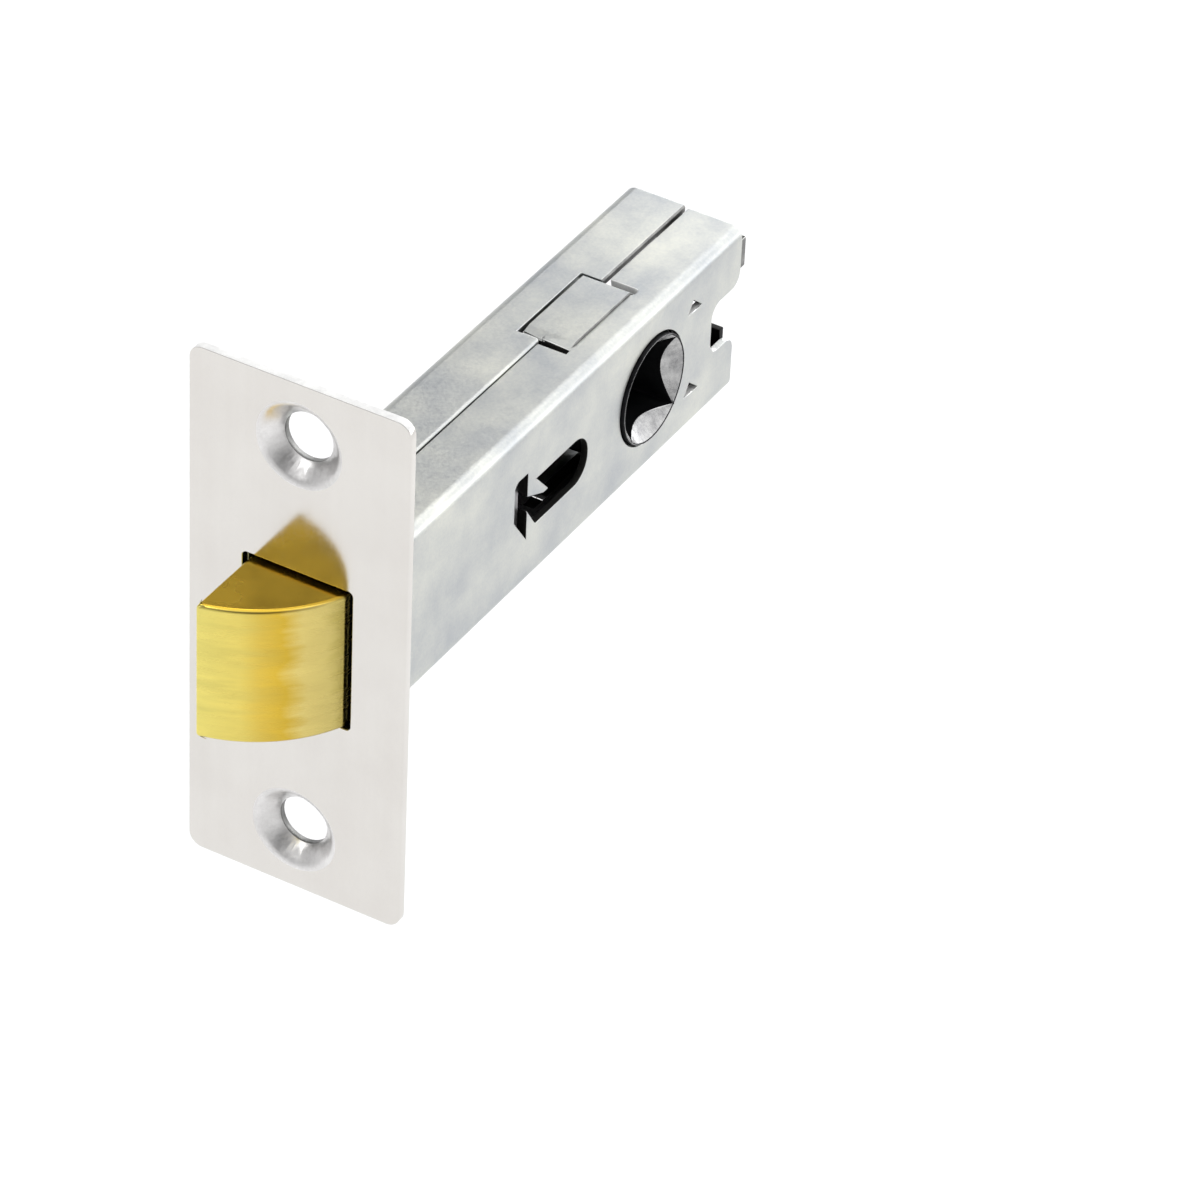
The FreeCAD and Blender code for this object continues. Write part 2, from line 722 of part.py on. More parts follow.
pieces = [
    make_forend(),
    make_case_body(),
    make_case_cover(),
    make_latch_bolt(),
    make_draw_bar("draw_bar_upper", 1),
    make_draw_bar("draw_bar_lower", -1),
    make_spring_seat(),
    make_bolt_spring(),
    make_follower(),
]
doc.recompute()

# Every object has to be sound before anything is written
for item in doc.Objects:
    if "Invalid" in item.State or "Error" in item.State:
        raise RuntimeError(f"{item.Label} failed: {item.State}")
for piece in pieces:
    if piece.Shape.isNull() or not piece.Shape.isValid() or len(piece.Shape.Solids) != 1:
        raise RuntimeError(f"{piece.Label} is not one sound solid")

os.makedirs("parts", exist_ok=True)
for piece in pieces:
    piece.Shape.exportStep(f"parts/{piece.Label}.step")
    print(f"{piece.Label}: {piece.Shape.Volume:.1f} mm3")
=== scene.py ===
# %% [markdown]
# # A tubular door latch
# The latch is let into the edge of a door. A flat forend shows, a brass bolt stands out of it, and a folded
# steel case runs back into the door with a hub for the handle's spindle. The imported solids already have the
# right shapes, so this lesson is about what a camera sees: softened edges, plated steel, brushed brass, light.

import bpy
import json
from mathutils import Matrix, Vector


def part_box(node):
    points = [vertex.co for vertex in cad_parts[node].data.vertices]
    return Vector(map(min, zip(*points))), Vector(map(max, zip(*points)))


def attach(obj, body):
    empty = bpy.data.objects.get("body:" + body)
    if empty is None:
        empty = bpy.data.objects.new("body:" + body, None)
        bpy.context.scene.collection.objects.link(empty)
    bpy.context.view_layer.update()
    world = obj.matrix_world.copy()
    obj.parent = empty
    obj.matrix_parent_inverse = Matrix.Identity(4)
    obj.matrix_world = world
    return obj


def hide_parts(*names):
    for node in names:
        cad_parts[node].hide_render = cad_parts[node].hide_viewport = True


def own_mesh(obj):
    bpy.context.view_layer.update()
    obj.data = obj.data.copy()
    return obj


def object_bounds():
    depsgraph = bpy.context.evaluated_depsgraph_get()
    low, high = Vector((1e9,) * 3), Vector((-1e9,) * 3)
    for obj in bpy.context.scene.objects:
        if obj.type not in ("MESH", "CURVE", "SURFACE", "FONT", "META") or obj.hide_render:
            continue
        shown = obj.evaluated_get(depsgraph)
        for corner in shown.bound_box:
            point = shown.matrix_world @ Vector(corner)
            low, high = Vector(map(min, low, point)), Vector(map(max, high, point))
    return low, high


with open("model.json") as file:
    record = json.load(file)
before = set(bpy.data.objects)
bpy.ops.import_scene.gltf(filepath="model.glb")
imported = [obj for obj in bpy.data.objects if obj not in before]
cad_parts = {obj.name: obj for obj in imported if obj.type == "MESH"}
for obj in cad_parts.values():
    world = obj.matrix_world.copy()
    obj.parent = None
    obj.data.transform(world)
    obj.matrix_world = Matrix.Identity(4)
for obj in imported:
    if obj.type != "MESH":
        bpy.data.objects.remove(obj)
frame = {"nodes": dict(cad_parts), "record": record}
cad_low, cad_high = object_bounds()
print("CAD box in metres:", [round(v, 4) for v in cad_low], [round(v, 4) for v in cad_high])

# %% Tools for the lesson
import json
from math import atan2, cos, hypot, pi, radians, sin

import bmesh
import bpy
from mathutils import Matrix, Vector

MM = 0.001
scene = bpy.context.scene
print("one unit is a metre, and MM turns millimetres into metres")

# %% [markdown]
# ## Camera
# The photograph was taken from the front right and from above with a long lens, so lines that run back hardly
# draw together. The angles below were solved from the forend's four corners and the case's long edges. Blender
# cameras look along their own -Z, so the rotation is built from three axes: right, up and back. A Track To
# constraint could aim the camera too, but it would leave out the slight roll.

# %% Camera at the photograph's view
IMAGE_SIDE = 1200
SENSOR_WIDTH = 36
AZIMUTH, ELEVATION, ROLL = radians(29.07), radians(36.88), radians(2.78)
FOCAL_PIXELS = 6388
AIM_RIGHT, AIM_UP, DISTANCE = 28.97 * MM, 4.04 * MM, 609 * MM

back = Vector((sin(AZIMUTH) * cos(ELEVATION), -cos(AZIMUTH) * cos(ELEVATION), sin(ELEVATION)))
level_right = Vector((cos(AZIMUTH), sin(AZIMUTH), 0))
level_up = back.cross(level_right)
right = level_right * cos(ROLL) + level_up * sin(ROLL)
up = level_up * cos(ROLL) - level_right * sin(ROLL)

camera_data = bpy.data.cameras.new("photo_camera")
camera_data.sensor_width = SENSOR_WIDTH
camera_data.lens = SENSOR_WIDTH * FOCAL_PIXELS / IMAGE_SIDE
camera = bpy.data.objects.new("photo_camera", camera_data)
scene.collection.objects.link(camera)
place = Matrix((right, up, back)).transposed().to_4x4()
place.translation = right * AIM_RIGHT + up * AIM_UP + back * DISTANCE
camera.matrix_world = place
scene.camera = camera
print(f"camera {DISTANCE / MM:.0f} mm away, lens {camera_data.lens:.0f} mm")

# %% [markdown]
# ## Helpers for shader nodes
# Materials here are built from nodes, never from pictures, so that they have no seams and stay sharp at any
# distance. Nodes could be drawn by hand in Blender's editor; in code, three small helpers keep them readable.
# One plugs a socket, one adds a node with its sockets, and one starts a group with named inputs and outputs.

# %% Nodes and groups
def plug(tree, socket, value):
    """Links a socket to another node's output, or sets it to a plain value."""
    if isinstance(value, bpy.types.NodeSocket):
        tree.links.new(value, socket)
    else:
        socket.default_value = value


def add_node(tree, kind, **sockets):
    """Adds a node and plugs its sockets, which are named with underscores for blanks."""
    node = tree.nodes.new(kind)
    for name, value in sockets.items():
        plug(tree, node.inputs[name.replace("_", " ")], value)
    return node


def new_group(name, inputs, outputs):
    """A shader node group: inputs and outputs are (name, socket type) pairs."""
    group = bpy.data.node_groups.new(name, "ShaderNodeTree")
    for label, kind in inputs:
        group.interface.new_socket(label, in_out="INPUT", socket_type=kind)
    for label, kind in outputs:
        group.interface.new_socket(label, in_out="OUTPUT", socket_type=kind)
    return group, group.nodes.new("NodeGroupInput").outputs, group.nodes.new("NodeGroupOutput").inputs


print("node helpers ready")

# %% [markdown]
# ## Plated grain
# Nickel and zinc plating are never quite even: broad cloudy patches lie over a fine grain. The same effect is
# on the forend, the case and the hub. It could be built anew in each material, but as one node group it is
# changed in one place. The group gives out two masks, and each material decides what they do.

# %% Plated grain group
VECTOR, FLOAT = "NodeSocketVector", "NodeSocketFloat"
plated_grain, given, wanted = new_group(
    "plated_grain",
    [("Vector", VECTOR), ("Patch Scale", FLOAT), ("Grain Scale", FLOAT)],
    [("Patches", FLOAT), ("Grain", FLOAT)])
patches = add_node(plated_grain, "ShaderNodeTexNoise", Vector=given["Vector"], Scale=given["Patch Scale"],
                   Detail=4.0, Roughness=0.55)
grain = add_node(plated_grain, "ShaderNodeTexNoise", Vector=given["Vector"], Scale=given["Grain Scale"],
                 Detail=2.0, Roughness=0.6)
plated_grain.links.new(patches.outputs["Fac"], wanted["Patches"])
plated_grain.links.new(grain.outputs["Fac"], wanted["Grain"])
print("group", plated_grain.name, "gives", [item.name for item in wanted if item.name])

# %% [markdown]
# ## Drawn lines
# Brushing, rolling and drawing leave fine parallel lines. Noise that is squeezed across the lines and left
# long beside them gives such lines in any direction, so the squeeze is an input of the group. A wave texture
# could give lines too, but they would be too even.

# %% Drawn lines group
def combine(tree, kind, operation, first, second):
    """A maths node with two inputs."""
    node = tree.nodes.new(kind)
    node.operation = operation
    plug(tree, node.inputs[0], first)
    plug(tree, node.inputs[1], second)
    return node.outputs


drawn_lines, given, wanted = new_group(
    "drawn_lines",
    [("Vector", VECTOR), ("Squeeze", VECTOR), ("Scale", FLOAT)],
    [("Lines", FLOAT)])
squeezed = combine(drawn_lines, "ShaderNodeVectorMath", "MULTIPLY", given["Vector"], given["Squeeze"])
lines = add_node(drawn_lines, "ShaderNodeTexNoise", Vector=squeezed["Vector"], Scale=given["Scale"],
                 Detail=3.0, Roughness=0.65)
drawn_lines.links.new(lines.outputs["Fac"], wanted["Lines"])
print("group", drawn_lines.name, "gives", [item.name for item in wanted if item.name])

# %% [markdown]
# ## Metals
# Every piece is metal, so one recipe serves: a Principled shader with two tones mixed by patches, broad streaks
# and grain, a roughness that wanders between two values, and a shallow bump from grain and lines. Values that
# are the same all over, such as Metallic, are set on the shader itself.

# %% Placing groups and mixing
def place_group(tree, group, here, **values):
    """Puts a node group into a material, fed with the place of each point."""
    node = tree.nodes.new("ShaderNodeGroup")
    node.node_tree = group
    plug(tree, node.inputs["Vector"], here)
    for name, value in values.items():
        plug(tree, node.inputs[name.replace("_", " ")], value)
    return node.outputs


def mix_numbers(tree, share, first, second):
    """A number between two others: share 0 gives the first, 1 the second."""
    return add_node(tree, "ShaderNodeMix", Factor=share, A=first, B=second).outputs["Result"]


def mix_colours(tree, share, first, second):
    """A colour between two others: share 0 gives the first, 1 the second."""
    node = add_node(tree, "ShaderNodeMix", Factor=share)
    node.data_type = "RGBA"
    sockets = [socket for socket in node.inputs if socket.type == "RGBA"]
    for socket, colour in zip(sockets, (first, second)):
        plug(tree, socket, colour)
    return next(socket for socket in node.outputs if socket.type == "RGBA")


print("groups can be placed, numbers and colours mixed")

# %% Metal recipe
STREAK_WIDTH = 8
SPECKLE_SHARE = 0.2
CLOUD_LOW, CLOUD_HIGH = 0.36, 0.64
LINE_LOW, LINE_HIGH = 0.3, 0.7
RELIEF_DEPTH = 0.02 * MM


def metal(name, tones, roughness, patch_mm, grain_mm, squeeze, line_mm, bump, line_share=0.5, streak_share=0.3,
          metallic=1.0):
    """A plated or brushed metal. Sizes in millimetres say how wide patches, grain and lines are."""
    material = bpy.data.materials.new(name)
    material.use_nodes = True
    tree = material.node_tree
    shader = tree.nodes["Principled BSDF"]
    shader.inputs["Metallic"].default_value = metallic
    here = add_node(tree, "ShaderNodeTexCoord").outputs["Object"]

    grained = place_group(tree, plated_grain, here, Patch_Scale=1 / (patch_mm * MM),
                          Grain_Scale=1 / (grain_mm * MM))
    lined = place_group(tree, drawn_lines, here, Squeeze=squeeze, Scale=1 / (line_mm * MM))
    streaked = place_group(tree, drawn_lines, here, Squeeze=squeeze, Scale=1 / (line_mm * STREAK_WIDTH * MM))
    clouded = mix_numbers(tree, streak_share, grained["Patches"], streaked["Lines"])
    speckled = mix_numbers(tree, SPECKLE_SHARE, clouded, grained["Grain"])
    cloud = add_node(tree, "ShaderNodeMapRange", Value=speckled, From_Min=CLOUD_LOW, From_Max=CLOUD_HIGH)
    tone = mix_colours(tree, cloud.outputs["Result"], (*tones[0], 1), (*tones[1], 1))
    plug(tree, shader.inputs["Base Color"], tone)

    texture = mix_numbers(tree, line_share, grained["Grain"], lined["Lines"])
    rough = add_node(tree, "ShaderNodeMapRange", Value=texture, From_Min=LINE_LOW, From_Max=LINE_HIGH,
                     To_Min=roughness[0], To_Max=roughness[1])
    plug(tree, shader.inputs["Roughness"], rough.outputs["Result"])
    relief = add_node(tree, "ShaderNodeBump", Strength=bump, Distance=RELIEF_DEPTH, Height=texture)
    plug(tree, shader.inputs["Normal"], relief.outputs["Normal"])
    return material


print("metal recipe ready")

# %% [markdown]
# ## Steel finishes
# The forend is nickel-plated and brushed lightly along its height. The press leaves its dishes rougher. The
# case is bright zinc, whose clear coat is faintly blue where it is thin and faintly yellow where it is thick.
# Cut edges are either torn and dark, with painted shade deepening them in the seam, creases and gaps, or pale
# and nearly matt, which a low Metallic gives, as a painted highlight. One material with masks could hold all of
# them, but then no finish could be changed alone.

# %% Finishes of the outside
ALONG_Y, ALONG_Z = (1, 0.04, 1), (1, 1, 0.04)
satin_nickel = metal("satin_nickel", [(0.69, 0.665, 0.63), (0.74, 0.72, 0.685)], (0.1, 0.17),
                     patch_mm=9, grain_mm=0.35, squeeze=ALONG_Z, line_mm=0.3, bump=0.1)
pressed_dish = metal("pressed_dish", [(0.6, 0.59, 0.58), (0.86, 0.85, 0.84)], (0.28, 0.4),
                     patch_mm=5, grain_mm=0.3, squeeze=ALONG_Y, line_mm=0.4, bump=0.1)
bright_zinc = metal("bright_zinc", [(0.41, 0.43, 0.45), (0.655, 0.66, 0.605)], (0.3, 0.42),
                    patch_mm=10, grain_mm=0.3, squeeze=ALONG_Y, line_mm=0.35, bump=0.25, line_share=0.2,
                    streak_share=0.12)
# Torn cut edges, darkened further as painted shade in the seam, at the tab's crease, at the flap's end and in
# the screw holes.
torn_edge_painted_shade = metal("torn_edge_painted_shade", [(0.13, 0.13, 0.13), (0.3, 0.3, 0.29)], (0.4, 0.55),
                     patch_mm=1.5, grain_mm=0.3, squeeze=ALONG_Z, line_mm=0.2, bump=0.3)
# A pale, nearly matt finish that gives a painted highlight on rolled lips, pressed nibs and cut ends.
pale_painted_highlight = metal("pale_painted_highlight", [(0.7, 0.7, 0.69), (0.9, 0.9, 0.88)], (0.5, 0.65),
                  patch_mm=1.5, grain_mm=0.3, squeeze=ALONG_Z, line_mm=0.2, bump=0.2, metallic=0.1)
outside = [satin_nickel, pressed_dish, bright_zinc, torn_edge_painted_shade, pale_painted_highlight]
print("outside:", [finish.name for finish in outside])

# %% Finishes of the inside
ALONG_X = (0.04, 1, 1)
# Near-black painted shade for the inside of the case, the cut edges round its openings and the nibs' slits.
painted_shade_inside = metal("painted_shade_inside", [(0.015, 0.015, 0.016), (0.04, 0.039, 0.036)], (0.5, 0.7),
                       patch_mm=5, grain_mm=0.4, squeeze=ALONG_Y, line_mm=0.4, bump=0.2, line_share=0.3)
# Bars and seat are darkened as painted shade for where they lie inside the case.
cold_rolled_painted_shade = metal("cold_rolled_painted_shade", [(0.2, 0.2, 0.205), (0.36, 0.36, 0.36)], (0.35, 0.5),
                    patch_mm=5, grain_mm=0.3, squeeze=ALONG_Y, line_mm=0.25, bump=0.2)
# The spring's wire is darkened as painted shade for where it lies inside the case.
drawn_wire_painted_shade = metal("drawn_wire_painted_shade", [(0.1, 0.1, 0.105), (0.2, 0.2, 0.205)], (0.25, 0.4),
                   patch_mm=3, grain_mm=0.2, squeeze=ALONG_X, line_mm=0.2, bump=0.15)
cast_hub = metal("cast_hub", [(0.22, 0.22, 0.225), (0.56, 0.56, 0.55)], (0.2, 0.34),
                 patch_mm=1.8, grain_mm=0.35, squeeze=ALONG_X, line_mm=0.25, bump=0.4, line_share=0.3,
                 streak_share=0.5)
# Near-black painted shade for the follower's square hole and barrel.
bore_painted_shade = metal("bore_painted_shade", [(0.012, 0.012, 0.014), (0.03, 0.03, 0.032)], (0.45, 0.6),
                      patch_mm=2, grain_mm=0.3, squeeze=ALONG_X, line_mm=0.3, bump=0.3, line_share=0.7)
inside = [painted_shade_inside, cold_rolled_painted_shade, drawn_wire_painted_shade, cast_hub, bore_painted_shade]
print("inside:", [finish.name for finish in inside])

# %% [markdown]
# ## Brushed brass
# The bolt is solid brass, brushed level along its crowned face. Its colour changes across the bolt: pale yellow
# towards the nose, a deeper, redder tone in the middle, paler again further on and darker at the heel. A colour
# ramp along X holds those tones, and the drawn lines lighten and darken it in level streaks. The top is only
# sawn off the bar, so where a face looks up it takes the deep tone of bare brass. The recipe above has only two
# tones, so brass gets a tree of its own.

# %% Brass: place and lines
BOLT_HALF = 5.6 * MM
BROAD_SQUEEZE, BROAD_WIDTH = (0.2, 0.2, 1), 2.2 * MM
FINE_SQUEEZE, FINE_WIDTH = (0.03, 0.03, 1), 0.25 * MM
brushed_brass = bpy.data.materials.new("brushed_brass")
brushed_brass.use_nodes = True
tree = brushed_brass.node_tree
shader = tree.nodes["Principled BSDF"]
shader.inputs["Metallic"].default_value = 1.0
here = add_node(tree, "ShaderNodeTexCoord").outputs["Object"]
along = add_node(tree, "ShaderNodeSeparateXYZ", Vector=here).outputs["X"]
across = add_node(tree, "ShaderNodeMapRange", Value=along, From_Min=-BOLT_HALF, From_Max=BOLT_HALF)
broad = place_group(tree, drawn_lines, here, Squeeze=BROAD_SQUEEZE, Scale=1 / BROAD_WIDTH)["Lines"]
fine = place_group(tree, drawn_lines, here, Squeeze=FINE_SQUEEZE, Scale=1 / FINE_WIDTH)["Lines"]
print(f"brass across {2 * BOLT_HALF / MM:.1f} mm, with broad and fine lines")

# %% Colour ramps
def colour_ramp(tree, share, stops):
    """A ramp through (position, colour) stops."""
    node = add_node(tree, "ShaderNodeValToRGB", Fac=share)
    elements = node.color_ramp.elements
    while len(elements) < len(stops):
        elements.new(0.5)
    for element, (position, colour) in zip(elements, stops):
        element.position = position
        element.color = (*colour, 1)
    return node.outputs["Color"]


print("colour ramps ready")

# %% Brass: tones
BRASS_STOPS = [(0.0, (0.76, 0.66, 0.18)), (0.36, (0.76, 0.62, 0.15)), (0.52, (0.69, 0.5, 0.085)),
               (0.66, (0.65, 0.44, 0.05)), (0.79, (0.67, 0.54, 0.175)), (0.92, (0.6, 0.49, 0.16)),
               (1.0, (0.42, 0.34, 0.09))]
SAWN_TONE = (0.7, 0.46, 0.05)
SAWN_LOW, SAWN_HIGH = 0.6, 0.95
WANDER = 0.06
STREAK_LOW, STREAK_HIGH = 0.35, 0.7
DARKEST, LIGHTEST = 0.9, 1.12

wander = add_node(tree, "ShaderNodeMapRange", Value=broad, From_Min=LINE_LOW, From_Max=LINE_HIGH,
                  To_Min=-WANDER, To_Max=WANDER)
wandered = combine(tree, "ShaderNodeMath", "ADD", across.outputs["Result"], wander.outputs["Result"])
tones = colour_ramp(tree, wandered["Value"], BRASS_STOPS)
lighter = add_node(tree, "ShaderNodeMapRange", Value=broad, From_Min=STREAK_LOW, From_Max=STREAK_HIGH,
                   To_Min=DARKEST, To_Max=LIGHTEST)
streaked = combine(tree, "ShaderNodeVectorMath", "MULTIPLY", tones, lighter.outputs["Result"])
normal = add_node(tree, "ShaderNodeNewGeometry").outputs["Normal"]
upwards = add_node(tree, "ShaderNodeSeparateXYZ", Vector=normal).outputs["Z"]
sawn = add_node(tree, "ShaderNodeMapRange", Value=upwards, From_Min=SAWN_LOW, From_Max=SAWN_HIGH)
dressed = mix_colours(tree, sawn.outputs["Result"], streaked["Vector"], (*SAWN_TONE, 1))
plug(tree, shader.inputs["Base Color"], dressed)
print("brass with", len(BRASS_STOPS), "tones across the bolt and one on its top")

# %% Brass: sheen
BRASS_ROUGHNESS, BRASS_BUMP = (0.16, 0.32), 0.2
rough = add_node(tree, "ShaderNodeMapRange", Value=fine, From_Min=LINE_LOW, From_Max=LINE_HIGH,
                 To_Min=BRASS_ROUGHNESS[0], To_Max=BRASS_ROUGHNESS[1])
plug(tree, shader.inputs["Roughness"], rough.outputs["Result"])
relief = add_node(tree, "ShaderNodeBump", Strength=BRASS_BUMP, Distance=RELIEF_DEPTH, Height=fine)
plug(tree, shader.inputs["Normal"], relief.outputs["Normal"])
print("brass roughness between", BRASS_ROUGHNESS)

# %% [markdown]
# ## Softened edges
# No real edge is perfectly sharp. Pressed sheet has a rounded edge that catches the light, and that thin
# bright line is what makes metal look real. A bevel modifier could do it, but here each piece is a copy of its
# solid, welded and with its flat faces made whole, and bmesh rounds chosen edges by a chosen radius.

# %% Edge helpers
WELD_DISTANCE = 0.001 * MM
FLAT_ANGLE = radians(0.4)
SHARP_ANGLE = radians(38)


def copy_solid(node):
    """A working copy of a solid: split corners welded, triangles of each flat face joined."""
    shape = bmesh.new()
    shape.from_mesh(frame["nodes"][node].data)
    bmesh.ops.remove_doubles(shape, verts=shape.verts[:], dist=WELD_DISTANCE)
    bmesh.ops.dissolve_limit(shape, angle_limit=FLAT_ANGLE, verts=shape.verts[:], edges=shape.edges[:])
    return shape


def sharp_edges(shape, chosen=lambda middle: True):
    """The edges where two faces meet at a real corner, if their middle point in millimetres is chosen."""
    found = []
    for edge in shape.edges:
        middle = (edge.verts[0].co + edge.verts[1].co) / 2
        if edge.is_manifold and edge.calc_face_angle() > SHARP_ANGLE and chosen(middle / MM):
            found.append(edge)
    return found


def round_over(shape, edges, radius, steps=2):
    """Rounds edges by a radius, in a few steps."""
    bmesh.ops.bevel(shape, geom=edges, offset=radius, offset_type="OFFSET", segments=steps, profile=0.5,
                    affect="EDGES", clamp_overlap=False)


print("edge helpers ready")

# %% Showing a piece
def show(shape, name, body, slot, *materials):
    """Turns a working copy into a piece that rides on a body; flat faces stay flat, rounded ones are smooth."""
    mesh = bpy.data.meshes.new(name)
    shape.to_mesh(mesh)
    shape.free()
    mesh.shade_smooth()
    for material in materials:
        mesh.materials.append(material)
    piece = bpy.data.objects.new(name, mesh)
    scene.collection.objects.link(piece)
    even = piece.modifiers.new("even_shading", "WEIGHTED_NORMAL")
    even.keep_sharp = True
    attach(piece, body)
    print(f"{name}: {len(mesh.polygons)} faces on {body}")
    return piece


print("pieces can be shown")

# %% [markdown]
# ## Forend
# The forend is a thin pressed plate. The press draws the metal down round each screw hole, so the mouth of the
# dish is a soft curve, while the plate's outline and the bolt's aperture are punched and nearly sharp. Faces
# are told apart by their place: plate, dish, the torn land of the hole, and the cut edges at both ends.

# %% Forend
SCREW_RISE, DISH_MOUTH, DISH_HOLE = 23, 4.5, 2.7
DISH_BAND, DISH_RIM, HOLE_LAND = 0.3, 0.5, 0.1
FRONT_BAND, PLATE_END = 0.1, 29.5
PLATE_FACING, END_FACING = 0.97, 0.6
MOUTH_ROUND, PLATE_ROUND = 0.5 * MM, 0.12 * MM


def from_screw(middle):
    return hypot(middle.x, abs(middle.z) - SCREW_RISE)


def at_dish_mouth(middle):
    return middle.y < FRONT_BAND and abs(from_screw(middle) - DISH_MOUTH) < DISH_BAND


def punched(middle):
    return from_screw(middle) > DISH_HOLE + DISH_BAND


plate = copy_solid("forend")
round_over(plate, sharp_edges(plate, at_dish_mouth), MOUTH_ROUND, steps=4)
round_over(plate, sharp_edges(plate, punched), PLATE_ROUND)
# The hole's torn land gets the dark edge finish deepened as painted shade, and the plate's cut ends the pale
# finish as a painted highlight.
for face in plate.faces:
    middle = face.calc_center_median() / MM
    if from_screw(middle) < DISH_HOLE + HOLE_LAND:
        face.material_index = 2
    elif from_screw(middle) < DISH_MOUTH + DISH_RIM and face.normal.y > -PLATE_FACING:
        face.material_index = 1
    elif abs(face.normal.z) > END_FACING and abs(middle.z) > PLATE_END:
        face.material_index = 3
forend = show(plate, "forend_plate", "case", "forend_steel",
              satin_nickel, pressed_dish, torn_edge_painted_shade, pale_painted_highlight)
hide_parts("forend")

# %% [markdown]
# ## Case halves
# The two halves are folded from zinc-plated sheet and clinched together by tabs. One finish all over would look
# like foil, so each face gets one of four by where it lies and where it looks: bright zinc outside, a
# near-black painted shade inside and round the openings, torn dark metal with painted shade in the seam, and a
# pale matt finish as a painted highlight where the press has rolled or lanced the sheet. The halves could be
# cut into one mesh for each finish, but then the sheet would no longer be one piece.

# %% Places on the sheet
WALL_INSIDE, CEILING, SLACK = 6.1, 8.95, 0.05
NIB_RANGE, NIB_RISE, NIB_DEPTH = (62, 65.5), (3.5, 6.6), 6.8
TAB_LIP, LIP_LENGTH, TAB_CREASE = 44.3, 0.35, 3.35


def on_outside(middle):
    return abs(middle.z) > CEILING + SLACK


def at_nib(middle):
    """True within the recess and the slits of a nib."""
    along, rise = NIB_RANGE[0] < middle.y < NIB_RANGE[1], NIB_RISE[0] < abs(middle.z) < NIB_RISE[1]
    return along and rise and WALL_INSIDE < abs(middle.x) < NIB_DEPTH


def at_tab_front(middle):
    """True at the tab's front end, on the outside of the sheet."""
    return abs(middle.y - TAB_LIP) < LIP_LENGTH and on_outside(middle) and abs(middle.x) < TAB_CREASE


print(f"tab's lip {TAB_LIP} mm behind the forend's face, nibs from {NIB_RANGE[0]} to {NIB_RANGE[1]} mm")

# %% Faces in painted shade
CASE_FRONT, WINDOW_TOP = 1, CEILING - 1
SLOT_RANGE, FLAP_BACK = (28, 44), 72.0
FACING, FRONT_FACING = 0.5, 0.8
CUT_SLOPE, SLIT_SLOPE = 0.4, 0.3


def in_painted_shade(face):
    """Faces within the walls, round the slot, in the nibs' slits and on the tab's front get a near-black
    painted shade.
    """
    middle = face.calc_center_median() / MM
    between_walls = abs(middle.x) < WALL_INSIDE + SLACK and abs(middle.z) < CEILING + SLACK
    within = between_walls and middle.y > CASE_FRONT
    end_face = middle.y > FLAP_BACK and face.normal.y > FACING
    cut_edge = abs(face.normal.x) < CUT_SLOPE and abs(middle.z) < WINDOW_TOP
    around_slot = cut_edge and SLOT_RANGE[0] < middle.y < SLOT_RANGE[1]
    in_slit = at_nib(middle) and face.normal.z < SLIT_SLOPE
    tab_front = at_tab_front(middle) and face.normal.y < -FRONT_FACING
    return (within and not end_face) or around_slot or in_slit or tab_front


print(f"dull: within {WALL_INSIDE} mm of the middle plane, round the slot, in the slits, on the tab's front")

# %% Torn faces with painted shade, and painted highlight
SEAM_BAND, CREASE_BAND, FLAP_END = 0.5, 0.2, 73.05
TAB_RANGE, BESIDE_TAB, BEHIND_TAB = (44.5, 56), 1, 2
LIP_SLOPE, CREASE_SLOPE, REAR_SLOPE = 0.25, 0.2, 0.3


def torn_or_painted_shade(face):
    """The sheared faces across the seam, the crease at the tab's root and the upper flap's end are torn, and
    their dark finish is also painted shade for the step, the crease and the gap.
    """
    middle = face.calc_center_median() / MM
    across = abs(middle.x) < SEAM_BAND and abs(face.normal.x) > FACING and middle.y > TAB_RANGE[1]
    at_crease = abs(abs(middle.x) - TAB_CREASE) < CREASE_BAND and TAB_RANGE[0] < middle.y < TAB_RANGE[1]
    crease = at_crease and abs(face.normal.x) > CREASE_SLOPE
    if on_outside(middle):
        return across or crease
    return middle.y > FLAP_END and middle.x > WALL_INSIDE and face.normal.x > FACING


def in_painted_highlight(face):
    """The tab's rolled lip, the cut face behind it and the pressed nibs get a pale, nearly matt painted
    highlight.
    """
    middle = face.calc_center_median() / MM
    beside_tab = SEAM_BAND < middle.x < TAB_CREASE + BESIDE_TAB
    close_behind = TAB_RANGE[1] < middle.y < TAB_RANGE[1] + BEHIND_TAB
    cut_face = beside_tab and close_behind and on_outside(middle) and face.normal.y < -REAR_SLOPE
    lip = at_tab_front(middle) and face.normal.y < -LIP_SLOPE
    return cut_face or at_nib(middle) or lip


print(f"torn: within {SEAM_BAND} mm of the seam; bare: {BEHIND_TAB} mm behind the tab, its lip and the nibs")

# %% Edges of the sheet
CASE_TOP, SEAM_START, LEVEL = 9.7, 2, 0.99
REAR_EDGE, EDGE_SHIFT = 0.56, 0.15
SHEET_ROLL, EDGE_ROUND = 0.3 * MM, 0.1 * MM


def along_seam(middle):
    return abs(middle.x) < SEAM_BAND and on_outside(middle) and middle.y > SEAM_START


def at_tab_lip(middle):
    return abs(middle.y - TAB_LIP) < SLACK and abs(middle.z) > CASE_TOP - SLACK


def outermost(edge):
    """True for an edge of a face that looks straight up or down, on the outside of the sheet."""
    level = any(abs(face.normal.z) > LEVEL for face in edge.link_faces)
    return level and abs(edge.verts[0].co.z) > CASE_TOP * MM


def close_seam(half):
    """Behind the tab the cover's edge lies close under the other half, so that no daylight shows through."""
    for vertex in half.verts:
        at = vertex.co / MM
        if abs(at.z) > CEILING and at.y > TAB_RANGE[1] and abs(at.x - REAR_EDGE) < SLACK:
            vertex.co.x -= EDGE_SHIFT * MM


